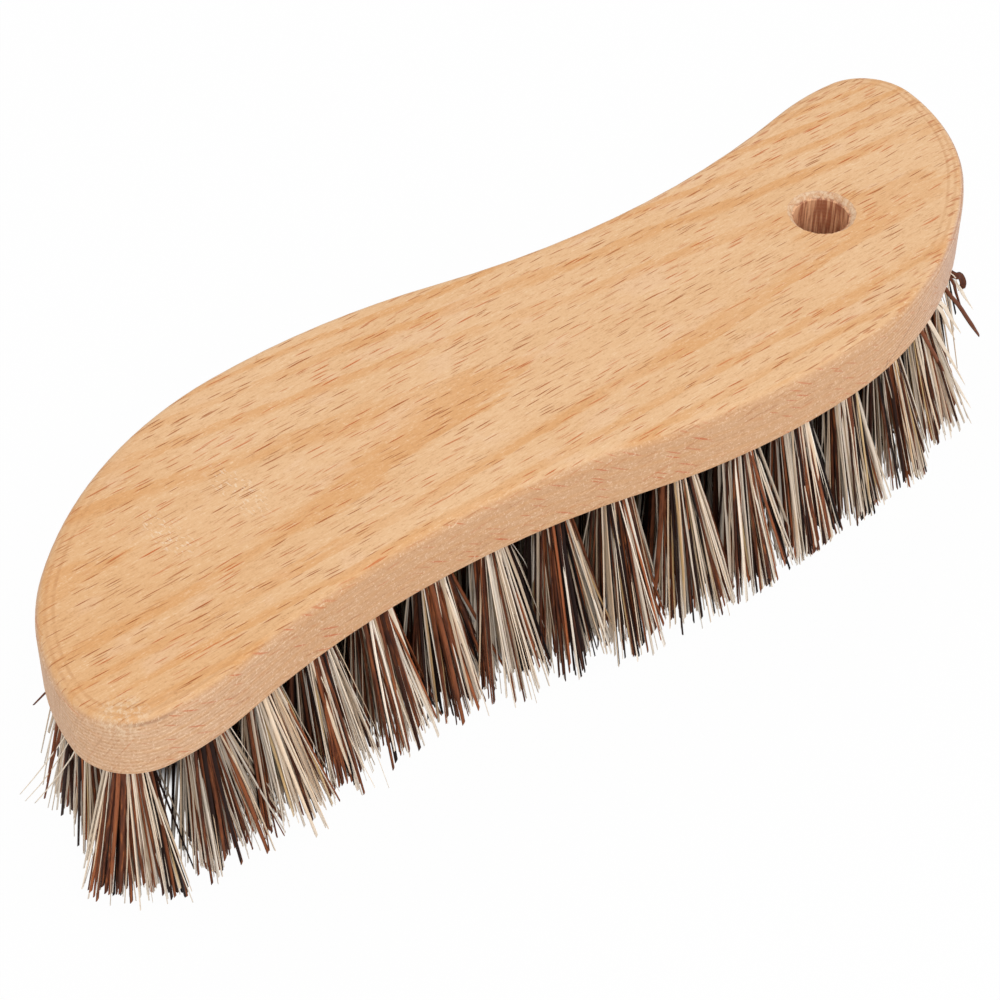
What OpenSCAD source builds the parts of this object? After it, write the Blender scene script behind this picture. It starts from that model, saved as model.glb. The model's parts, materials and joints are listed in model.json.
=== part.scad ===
// Scrub brush with an S-shaped beech block and tufts of stiff plant fibre.
// Each tuft is folded over a flat wire anchor and driven into its own blind hole.
// Millimetres. The long axis lies along X, and the brush stands on its bristle tips at Z = 0.

/* [Block outline] */
// Radius of the tight corner at each tip
corner_r = 11; // [8:0.5:15]
// How far the tight corner turns, in degrees
corner_turn = 90; // [84:1:98]
// Radius of the nose below the tight corner
nose_r = 40; // [30:1:50]
// How far the nose turns
nose_turn = 40; // [34:1:48]
// Radius of the full flank
flank_r = 72; // [60:1:85]
// How far the full flank turns
flank_turn = 42; // [36:1:50]
// Radius where the flank flattens towards the middle
back_r = 144; // [110:1:200]
// How far that flatter stretch turns
back_turn = 18; // [12:1:24]
// Radius of the hollow side that the fingers hold
waist_r = 172; // [140:1:220]
// How far the hollow side turns back
waist_turn = 27; // [20:1:34]
// Radius between the hollow side and the other tip's corner
heel_r = 50; // [35:1:70]
// Angle between the first tip's upper edge and the long axis
lie = -8.75; // [-14:0.25:-4]

/* [Block] */
// Thickness of the block
block_t = 12; // [11:0.5:20]
// Radius of the rounded edge round the top face
top_round = 2; // [1:0.25:4]
// Width of the bevel round the underside
under_bevel = 0.6; // [0.3:0.1:1.5]

/* [Hanging hole] */
// Diameter of the hanging hole
hang_d = 10; // [6:0.5:12]
// Width of the bevel round each mouth of the hanging hole
hang_bevel = 1.2; // [0.5:0.1:2]
// Distance from the edge of the full flank to the hole's centre
hang_inset = 24; // [20:0.5:28]
// Turn of the full flank at which the hole stands
hang_turn = 16; // [8:0.5:24]

/* [Tuft holes] */
// Diameter of a tuft hole
hole_d = 6.5; // [6:0.25:7.5]
// Depth of a tuft hole along its axis
hole_deep = 8; // [7:0.25:9]
// Distance from the edge to the outer row
edge_land = 6.5; // [5.5:0.25:8]
// Spacing wanted along the outer row
outer_pitch = 12; // [10:0.5:16]
// Distance along the outer row from the start of the tight corner to its first tuft
outer_start = 3.6; // [0:0.1:11]
// Lean of the outer tufts, away from the middle
outer_lean = 10; // [0:1:18]
// Distance from the outer row to the inner row
row_gap = 13; // [11.5:0.5:14]
// Spacing along each inner row
inner_pitch = 12.9; // [11.5:0.1:14]
// Distance along an inner row from the hanging hole to the tufts beside it
inner_start = 13; // [12:0.5:15]
// Places in each inner row
inner_places = 12; // [8:1:12]
// Lean of the inner tufts
inner_lean = 3; // [0:1:6]
// Least wood left between a tuft hole and the hanging hole
hang_land = 1.5; // [1:0.25:3]

/* [Bristles] */
// Free length of the bristles below the block
trim = 30; // [20:1:40]
// Distance from a strand's axis to its corners
strand_r = 0.65; // [0.4:0.05:0.7]
// Strands in the core of a tuft
core_strands = 3; // [2:1:3]
// Strands round the outside of a tuft
rim_strands = 5; // [4:1:5]
// Distance of the core strands from the tuft's axis, at their tips
core_tip = 1.7; // [1.4:0.1:2]
// Gap between the tips of neighbouring tufts
tip_gap = 2.5; // [1.5:0.25:4]
// How much shorter than the trim the shortest strand is
uneven = 1.5; // [0:0.25:3]
// Depth of the flat cut across the longest strands
flat_cut = 0.5; // [0.3:0.1:1]

/* [Wire anchors] */
// Thickness of the flat wire
anchor_t = 0.5; // [0.3:0.05:0.8]
// Height of the flat wire
anchor_h = 2; // [1.5:0.25:3]
// How far each end bites into the wood beyond its hole
anchor_bite = 0.8; // [0.4:0.1:1.2]
// Thickness of the fibre folded over the wire
fold = 1.5; // [1:0.25:2.5]

/* [Clearances] */
// Gap between a tuft's root and its hole
root_gap = 0.05; // [0.02:0.01:0.15]
// Gap between a wire anchor and the wood and fibre round it
anchor_gap = 0.02; // [0.01:0.01:0.1]

/* [Hidden] */
// The last arc turns by whatever closes half of the outline
heel_turn = 180 + waist_turn - corner_turn - nose_turn - flank_turn - back_turn;
// Half of the outline as [radius, turn] of each arc, clockwise from the tight corner.
// A hollow arc has both below zero. The other half is this half turned by 180 degrees.
arcs = [
    [corner_r, corner_turn],
    [nose_r, nose_turn],
    [flank_r, flank_turn],
    [back_r, back_turn],
    [-waist_r, -waist_turn],
    [heel_r, heel_turn]
];
nose = 1;
flank = 2;
last_arc = len(arcs) - 1;
// Largest distance between an arc and the flat facets that stand for it
facet_sag = 0.05;
// Facets up the rounded top edge
round_steps = 4;
// Facets round a tuft hole and the hanging hole
hole_facets = 20;
hang_facets = 48;
// How far a cut runs past the face that it starts from
cut_over = 1;
// How far the root of a tuft shows below the block
lip = 0.2;
// How far a strand starts inside its root
strand_start = 1;
// Corners round a tuft's root
root_corners = 6;
// Distance by which a strand's tip may be out of place
stray = 0.15;
// Angle by which a strand's tip may be out of place
stray_turn = 4;
top_z = trim + block_t;

beech = [0.89, 0.73, 0.54];
straw = [0.86, 0.80, 0.68];
russet = [0.45, 0.24, 0.14];
soot = [0.16, 0.12, 0.10];
steel = [0.72, 0.72, 0.74];

// Unit vector to the right of a heading
function right(h) = [sin(h), -cos(h)];
// Heading at the start of arc i
function heading(i) = i == 0 ? lie : heading(i - 1) - arcs[i - 1][1];
// Start of arc i, before the outline is centred
function arc_start(i) = i == 0
    ? [0, 0]
    : arc_start(i - 1) + arcs[i - 1][0] * (right(heading(i - 1)) - right(heading(i)));
middle = arc_start(len(arcs)) / 2;
headings = [for (i = [0:last_arc]) heading(i)];
centres = [for (i = [0:last_arc]) arc_start(i) + arcs[i][0] * right(headings[i]) - middle];
// Outward normal at share t of arc i
function arc_normal(i, t) = -right(headings[i] - t * arcs[i][1]);
// Point at share t of arc i of the outline moved in by d
function arc_point(i, t, d) = centres[i] + (arcs[i][0] - d) * arc_normal(i, t);
// Facets on arc i
function arc_steps(i) = ceil(abs(arcs[i][1]) / (2 * acos(1 - facet_sag / abs(arcs[i][0]))));
function half_outline(d) = [
    for (i = [0:last_arc])
    for (k = [0:arc_steps(i) - 1])
    arc_point(i, k / arc_steps(i), d)
];
function outline(d) = concat(half_outline(d), [for (p = half_outline(d)) -p]);
// Length of arc i when the outline is moved in by d
function arc_length(i, d) = abs(arcs[i][0] - d) * abs(arcs[i][1]) * PI / 180;
function half_length(d, i = 0) = i > last_arc ? 0 : arc_length(i, d) + half_length(d, i + 1);

// A place is [mouth of the hole, outward normal, lean of the tuft]
function half_place(s, d, lean, i = 0) = s > arc_length(i, d) && i < last_arc
    ? half_place(s - arc_length(i, d), d, lean, i + 1)
    : let (t = s / arc_length(i, d)) [arc_point(i, t, d), arc_normal(i, t), lean];
function turned(p) = [-p[0], -p[1], p[2]];
outer_half = round(half_length(edge_land) / outer_pitch);
outer_step = half_length(edge_land) / outer_half;
outer_row = [
    for (side = [0, 1])
    for (k = [0:outer_half - 1])
    let (p = half_place(outer_start + k * outer_step, edge_land, outer_lean))
    side == 0 ? p : turned(p)
];
hang_at = centres[flank] + (flank_r - hang_inset) * arc_normal(flank, hang_turn / flank_turn);
inner_inset = edge_land + row_gap;
// Distance along an inner row to the point beside the hanging hole, or beside the like point of
// the other end. The row has a place there, one before it, and the rest after it.
hang_along = arc_length(0, inner_inset) + arc_length(nose, inner_inset)
    + arc_length(flank, inner_inset) * hang_turn / flank_turn;
inner_along = [
    hang_along - inner_start,
    hang_along,
    for (k = [0:inner_places - 3]) hang_along + inner_start + k * inner_pitch
];
inner_row = [
    for (side = [0, 1])
    for (s = inner_along)
    let (p = half_place(s, inner_inset, inner_lean))
    let (q = side == 0 ? p : turned(p))
    if (norm(q[0] - hang_at) > (hang_d + hole_d) / 2 + hang_bevel + hang_land) q
];
tufts = concat(outer_row, inner_row);

// A tuft's strands leave its root inside the root's flats and fan out to fill the spacing
strand_count = core_strands + rim_strands;
root_flat = (hole_d / 2 - root_gap) * cos(180 / root_corners);
rim_root = root_flat - strand_r;
core_root = 1.2 * strand_r;
rim_tip = (min(outer_step, inner_pitch) - tip_gap) / 2 - strand_r;

function padded(n) = str(n < 10 ? "0" : "", n);
function tuft_name(k) = k < len(outer_row)
    ? str("outer_tuft_", padded(k + 1))
    : str("inner_tuft_", padded(k + 1 - len(outer_row)));

// Puts its children at the mouth of a tuft's hole, with X pointing outwards
module at_mouth(place) {
    translate([place[0].x, place[0].y, trim])
        rotate([0, 0, atan2(place[1].y, place[1].x)])
        children();
}

// The same with Z up the hole, which leans with its tuft
module along_hole(place) {
    at_mouth(place) rotate([0, -place[2], 0]) children();
}

// Faces between corner k and the next of ring j and the ring above, n corners a ring, clockwise
function wall(j, k, n) = let (a = j * n + k, b = j * n + (k + 1) % n) [[a, b, a + n], [b, b + n, a + n]];

// A straight solid between two rings of n corners, the lower ring first
module prism(points, n) {
    fan = [for (k = [1:n - 2]) [0, k, k + 1]];
    polyhedron(
        points = points,
        faces = concat(
            [for (k = [0:n - 1]) each wall(0, k, n)],
            [for (f = fan) [f[2], f[1], f[0]]],
            [for (f = fan) [for (i = f) i + n]]
        )
    );
}

// The block before its holes are drilled, as rings [move inwards, height] of the outline
module bare_block() {
    rings = concat(
        [[under_bevel, trim], [0, trim + under_bevel]],
        [
            for (k = [0:round_steps])
            let (a = 90 * k / round_steps)
            [top_round * (1 - cos(a)), top_z - top_round * (1 - sin(a))]
        ]
    );
    n = len(outline(0));
    top = (len(rings) - 1) * n;
    // Each flat face is closed by a ladder of triangles across the block
    rungs = [
        for (k = [0:n / 2 - 1])
        let (a = k, b = k + 1, c = n - k - 1, d = (n - k) % n)
        each [if (k < n / 2 - 1) [a, b, c], if (k > 0) [a, c, d]]
    ];
    polyhedron(
        points = [for (r = rings) for (p = outline(r[0])) [p.x, p.y, r[1]]],
        faces = concat(
            [for (j = [0:len(rings) - 2]) for (k = [0:n - 1]) each wall(j, k, n)],
            [for (f = rungs) [f[2], f[1], f[0]]],
            [for (f = rungs) [for (i = f) i + top]]
        ),
        convexity = 6
    );
}

module hanging_hole() {
    translate([hang_at.x, hang_at.y, trim - cut_over])
        cylinder(h = block_t + 2 * cut_over, d = hang_d, $fn = hang_facets);
    for (up = [0, 1])
        translate([hang_at.x, hang_at.y, trim + up * block_t])
        mirror([0, 0, up])
        translate([0, 0, -cut_over])
        cylinder(
            h = hang_bevel + cut_over,
            r1 = hang_d / 2 + hang_bevel + cut_over,
            r2 = hang_d / 2,
            $fn = hang_facets
        );
}

module tuft_hole(place) {
    along_hole(place)
        translate([0, 0, -cut_over - hole_d / 2])
        cylinder(h = hole_deep + cut_over + hole_d / 2, d = hole_d, $fn = hole_facets);
}

// The flat wire across a hole, or with a gap the slot round it
module wire(gap = 0) {
    translate([0, 0, hole_deep - fold - anchor_h / 2])
        cube([anchor_t + 2 * gap, hole_d + 2 * (anchor_bite + gap), anchor_h + 2 * gap], center = true);
}

module block() {
    color(beech) difference() {
        bare_block();
        hanging_hole();
        for (place = tufts) tuft_hole(place);
        for (place = tufts) along_hole(place) wire(anchor_gap);
    }
}

module wire_anchors() {
    color(steel) for (place = tufts) along_hole(place) wire();
}

function polar(r, a) = [r * cos(a), r * sin(a)];

// Fibre packed into the hole: a prism up the hole, cut level just below the block
module packed_root(lean) {
    r = hole_d / 2 - root_gap;
    up = [-sin(lean), 0, cos(lean)];
    sides = [
        for (k = [0:root_corners - 1])
        let (a = -360 * k / root_corners)
        [r * cos(a) * cos(lean), r * sin(a), r * cos(a) * sin(lean)]
    ];
    low = [for (s = sides) s - up * (lip + s.z) / up.z];
    high = [for (s = sides) s + up * (hole_deep - root_gap)];
    prism(concat(low, high), root_corners);
}

// One three-sided strand from inside the root to its tip, with level ends
module strand(lean, root, tip, short) {
    ends = [[tip, short - trim], [root, strand_start]];
    corners = [
        for (e = ends)
        for (k = [0:2])
        let (c = e[0] + polar(strand_r, -120 * k))
        [c.x - e[1] * tan(lean), c.y, e[1]]
    ];
    prism(corners, 3);
}

// Strand i of tuft k. Chance moves its tip a little, trims it and picks its kind of fibre.
module tuft_strand(k, i) {
    chance = rands(-1, 1, 4 * strand_count, k + 1);
    core = i < core_strands;
    a = core ? 360 * i / core_strands : 360 * (i - core_strands + 0.5) / rim_strands;
    tip = (core ? core_tip : rim_tip) + stray * chance[4 * i];
    short = max(0, (uneven + flat_cut) * (1 + chance[4 * i + 2]) / 2 - flat_cut);
    kind = chance[4 * i + 3];
    color(kind < 0.2 ? straw : kind < 0.7 ? russet : soot) strand(
        tufts[k][2],
        polar(core ? core_root : rim_root, a),
        polar(tip, a + stray_turn * chance[4 * i + 1]),
        short
    );
}

module tuft(k) {
    lean = tufts[k][2];
    at_mouth(tufts[k]) {
        color(straw) difference() {
            packed_root(lean);
            rotate([0, -lean, 0]) wire(anchor_gap);
        }
        for (i = [0:strand_count - 1]) tuft_strand(k, i);
    }
}

block();
wire_anchors();
for (k = [0:len(tufts) - 1]) {
    tuft(k);
}
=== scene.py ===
import json
import math
import random

import bmesh
import bpy
from mathutils import Matrix, Vector, noise


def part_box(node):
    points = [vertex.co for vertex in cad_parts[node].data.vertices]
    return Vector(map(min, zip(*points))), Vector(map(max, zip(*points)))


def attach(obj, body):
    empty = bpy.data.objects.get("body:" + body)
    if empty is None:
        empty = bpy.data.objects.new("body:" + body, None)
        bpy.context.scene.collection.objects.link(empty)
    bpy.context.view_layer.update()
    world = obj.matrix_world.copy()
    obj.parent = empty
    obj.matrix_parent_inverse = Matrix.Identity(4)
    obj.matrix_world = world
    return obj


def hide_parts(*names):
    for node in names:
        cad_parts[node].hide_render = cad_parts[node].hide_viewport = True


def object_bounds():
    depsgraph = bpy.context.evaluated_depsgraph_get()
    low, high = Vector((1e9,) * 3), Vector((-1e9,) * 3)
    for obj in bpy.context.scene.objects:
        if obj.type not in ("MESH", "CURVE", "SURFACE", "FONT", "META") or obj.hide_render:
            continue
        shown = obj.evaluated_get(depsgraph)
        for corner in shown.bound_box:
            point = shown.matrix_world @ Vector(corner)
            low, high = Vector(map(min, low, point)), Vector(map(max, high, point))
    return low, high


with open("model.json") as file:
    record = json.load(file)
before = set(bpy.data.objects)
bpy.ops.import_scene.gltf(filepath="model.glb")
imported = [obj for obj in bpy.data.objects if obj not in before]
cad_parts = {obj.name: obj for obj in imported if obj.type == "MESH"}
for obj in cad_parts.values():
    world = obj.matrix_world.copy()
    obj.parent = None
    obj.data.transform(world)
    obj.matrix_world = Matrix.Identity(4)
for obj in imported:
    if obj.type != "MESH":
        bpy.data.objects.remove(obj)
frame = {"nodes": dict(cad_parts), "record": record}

MM = 0.001
# The noise that gathers the tips of the fibres is the same in every run
noise.seed_set(7)
CAD_BOX = [list(corner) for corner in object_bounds()]
LOW, HIGH = (Vector(corner) for corner in CAD_BOX)
BLOCK_LOW, BLOCK_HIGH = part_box("block")
UNDERSIDE = BLOCK_LOW.z
TOP = BLOCK_HIGH.z
TUFTS = sorted(name for name in frame["nodes"] if "tuft" in name)
HANGING = next(m for m in frame["record"]["mounts"] if m["name"] == "hanging_hole")
HANG_AT = Vector(HANGING["pos_m"])
HANG_R = HANGING["dims"]["r_mm"] * MM

# Half of the block's outline as radius and turn of each arc, clockwise from a tip's tight corner.
# A hollow arc has both below zero. The other half is the same, half a turn round.
ARCS = [(11, 90), (40, 40), (72, 42), (144, 18), (-172, -27), (50, 17)]
LIE = -8.75
ARC_STEP = 2.5
EDGE_ROUND = 1.7 * MM
EDGE_STEPS = 6
UNDER_BEVEL = 0.6 * MM
UNDER_STEPS = 2
# Edges of the wood and of a fibre sharper than this stay crisp
SHARP_WOOD = math.radians(32)
SHARP_FIBRE = math.radians(75)
# The sanded top falls a little towards its rounded edge
CROWN_WIDTH = 3.4 * MM
CROWN = 0.14 * MM

# Hanging hole
HANG_BEVEL = 1.2 * MM
HANG_STEPS = 96
# How far the drill tore the rim and the bevel, and the size of the tears
TORN = 0.35 * MM
TORN_SIZE = 0.9 * MM
BEVEL_TORN = 0.14 * MM
BEVEL_TORN_SIZE = 0.7 * MM
# The cutters pass this far beyond the block
CUT_OVER = 1 * MM

# Tuft holes
HOLE_R = 3.25 * MM
HOLE_DEEP = 8 * MM
HOLE_STEPS = 32
# A tuft's solid has a six-sided root, whose foot lies this far below the underside, in millimetres
ROOT_SIDES = 6
ROOT_FOOT = 0.2

# The camera, fitted to the photograph
VIEW_TURN = -43.601
VIEW_RISE = 44.491
VIEW_ROLL = 0.48
VIEW_DISTANCE = 472.928 * MM
VIEW_ASIDE = -6.409 * MM
VIEW_UP = -23.966 * MM
FOCAL_SHARE = 2.792146
SENSOR = 36


def towards_camera():
    turn, rise = math.radians(VIEW_TURN), math.radians(VIEW_RISE)
    return Vector((math.sin(turn) * math.cos(rise), -math.cos(turn) * math.cos(rise), math.sin(rise)))


def set_camera():
    """Looks at the middle of the top face from the photograph's side, moved a little aside and down."""
    back = towards_camera()
    roll = math.radians(VIEW_ROLL)
    level = (-back).cross(Vector((0, 0, 1))).normalized()
    upright = level.cross(-back)
    right = math.cos(roll) * level + math.sin(roll) * upright
    up = math.cos(roll) * upright - math.sin(roll) * level
    data = bpy.data.cameras.new("photo_view")
    data.sensor_width = SENSOR
    data.lens = SENSOR * FOCAL_SHARE
    data.clip_start = 0.01
    camera = bpy.data.objects.new("photo_view", data)
    bpy.context.scene.collection.objects.link(camera)
    place = back * VIEW_DISTANCE + right * VIEW_ASIDE + up * VIEW_UP + Vector((0, 0, TOP))
    camera.matrix_world = Matrix((right, up, back)).transposed().to_4x4()
    camera.matrix_world.translation = place
    bpy.context.scene.camera = camera


def linear(red, green, blue):
    """A colour as it looks on screen, 0 to 255, in the renderer's own linear units."""
    def one(c):
        c /= 255
        return c / 12.92 if c <= 0.04045 else ((c + 0.055) / 1.055) ** 2.4
    return (one(red), one(green), one(blue), 1)


class Link:
    """A socket's output. Python's operators on it add Math nodes."""

    def __init__(self, finish, socket):
        self.finish = finish
        self.socket = socket

    def math(self, operation, *others):
        return self.finish.node("ShaderNodeMath", {"operation": operation}, dict(enumerate((self, *others))))

    def __add__(self, other):
        return self.math("ADD", other)

    def __radd__(self, other):
        return self.math("ADD", other)

    def __sub__(self, other):
        return self.math("SUBTRACT", other)

    def __rsub__(self, other):
        return self.finish.node("ShaderNodeMath", {"operation": "SUBTRACT"}, {0: other, 1: self})

    def __mul__(self, other):
        return self.math("MULTIPLY", other)

    def __rmul__(self, other):
        return self.math("MULTIPLY", other)

    def __truediv__(self, other):
        return self.math("DIVIDE", other)

    def __pow__(self, other):
        return self.math("POWER", other)

    def rise(self, low, high):
        """0 below low and 1 above high, smooth between them. It falls if low is the larger."""
        return self.finish.node(
            "ShaderNodeMapRange",
            {"interpolation_type": "SMOOTHSTEP"},
            {"Value": self, "From Min": low, "From Max": high},
        )


class Finish:
    """The node tree of one material."""

    def __init__(self, name):
        self.material = bpy.data.materials.new(name)
        self.material.use_nodes = True
        self.tree = self.material.node_tree
        self.tree.nodes.clear()

    def node(self, kind, settings=None, sockets=None, out=0):
        """Adds a node: its settings first, then the values and links of its sockets."""
        node = self.tree.nodes.new(kind)
        for name, value in (settings or {}).items():
            if name == "stops":
                self.set_stops(node.color_ramp, value)
            else:
                setattr(node, name, value)
        for name, value in (sockets or {}).items():
            if isinstance(value, Link):
                self.tree.links.new(value.socket, node.inputs[name])
            else:
                node.inputs[name].default_value = value
        return Link(self, node.outputs[out]) if node.outputs else None

    @staticmethod
    def set_stops(ramp, stops):
        while len(ramp.elements) < len(stops):
            ramp.elements.new(1)
        for element, (place, colour) in zip(ramp.elements, stops):
            element.position = place
            element.color = colour

    def split(self, vector):
        """The three parts of a vector."""
        node = self.node("ShaderNodeSeparateXYZ", None, {0: vector}).socket.node
        return [Link(self, output) for output in node.outputs]

    def join(self, x, y, z):
        return self.node("ShaderNodeCombineXYZ", None, {0: x, 1: y, 2: z})

    def noise(self, vector, detail=2, roughness=0.5, scale=1):
        return self.node(
            "ShaderNodeTexNoise",
            None,
            {"Vector": vector, "Scale": scale, "Detail": detail, "Roughness": roughness},
        )

    def mix(self, share, first, second, blend="MIX"):
        """One colour over another."""
        settings = {"data_type": "RGBA", "blend_type": blend, "clamp_factor": True}
        return self.node("ShaderNodeMix", settings, {0: share, 6: first, 7: second}, out=2)

    def surface(self, colour, roughness, height, depth, **values):
        """Ends the tree in one Principled shader with a bump of that depth."""
        bump = self.node(
            "ShaderNodeBump", None, {"Height": height, "Distance": depth, "Strength": 1}
        )
        sockets = {"Base Color": colour, "Roughness": roughness, "Normal": bump, **values}
        shader = self.node("ShaderNodeBsdfPrincipled", None, sockets)
        self.node("ShaderNodeOutputMaterial", None, {"Surface": shader})
        return self.material


# The grain runs a few degrees off the long axis
GRAIN_TURN = -4
# The board was cut beside the middle of its tree, so its top shows long pointed arches of rings.
# In millimetres: where the middle lay beside and below the brush's own, how it turns from the grain
# and sinks along it, the first ring inside the top face, and the width of a ring.
PITH_ASIDE = -1
PITH_TURN = 0.075
PITH_BELOW = -8
PITH_SINK = 0.0235
FIRST_RING = 50
RING_WIDTH = 2.06
# Height of the sanding lines on the walls
SANDING = 0.82
# Ray flecks as length and width of one fleck's room, least and greatest share of it, and seed
FLECKS = [(13, 0.66, 0.1, 0.19, 3.1), (26, 1.5, 0.06, 0.12, 11.7)]
FAINT_FLECKS = (6, 0.42, 0.07, 0.22, 23.3)
WALL_FLECKS = (12, 1.3, 0.1, 0.21, 31.9)
# On the walls the flecks fall this much along the grain
WALL_FLECK_FALL = 0.58
# Broad red flecks near the edge of the second tip
EDGE_FLECKS = (7, 0.85, 0.16, 0.3, 51.3)
# Hairline scratches on the near wall, as x and z of the lower end, lean along x, and upper end
SCRATCHES = [(51.5, 31.2, 1.57, 38.6), (51.8, 30, 0.03, 33.4)]
# Dry upright scuffs on the top face, as middle and half-length
SCUFFS = [((-72, 10), 9), ((-57.5, 9.5), 10)]
# The torn lower corner, and the painted shadow under its raised lip, as middle and reach
TORN_CORNER = ((-100.5, -15.5, 41.6), 5.5)
LIP_SHADOW = ((-97.5, -18, 41.2), 5.5)

# Colours of the wood, each named for its place or mark
WOOD = {
    "plain": linear(234, 190, 144),
    "blushed": linear(230, 184, 136),
    # The walls' colours are darker than the top: partly the side grain's own tone, partly painted shade
    "first end": linear(226, 174, 120),
    "wall": linear(210, 161, 120),
    "wall of the first end": linear(214, 171, 136),
    "wall of the second end": linear(192, 158, 148),
    "bloom": linear(238, 200, 166),
    "late ring": linear(221, 157, 92),
    "fine shade": linear(188, 130, 80),
    "fine light": linear(248, 217, 178),
    "dark fleck": linear(168, 84, 20),
    "red fleck": linear(204, 98, 32),
    "faint fleck": linear(196, 120, 58),
    "wall fleck": linear(204, 108, 62),
    "edge fleck": linear(186, 102, 56),
    "scratch": linear(140, 84, 56),
    "pore": linear(178, 124, 84),
    "ray": linear(184, 130, 90),
    # Painted shade of the cutter's ridges
    "ridge_shade": linear(190, 126, 72),
    "torn": linear(244, 214, 178),
    "scuff": linear(247, 226, 198),
    # Painted shadow under the torn lip
    "lip": linear(140, 90, 58),
    "fuzz": linear(244, 216, 184),
    "bore": linear(168, 100, 68),
    "bore streak": linear(252, 198, 152),
    "hole rim": linear(244, 216, 182),
}


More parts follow.
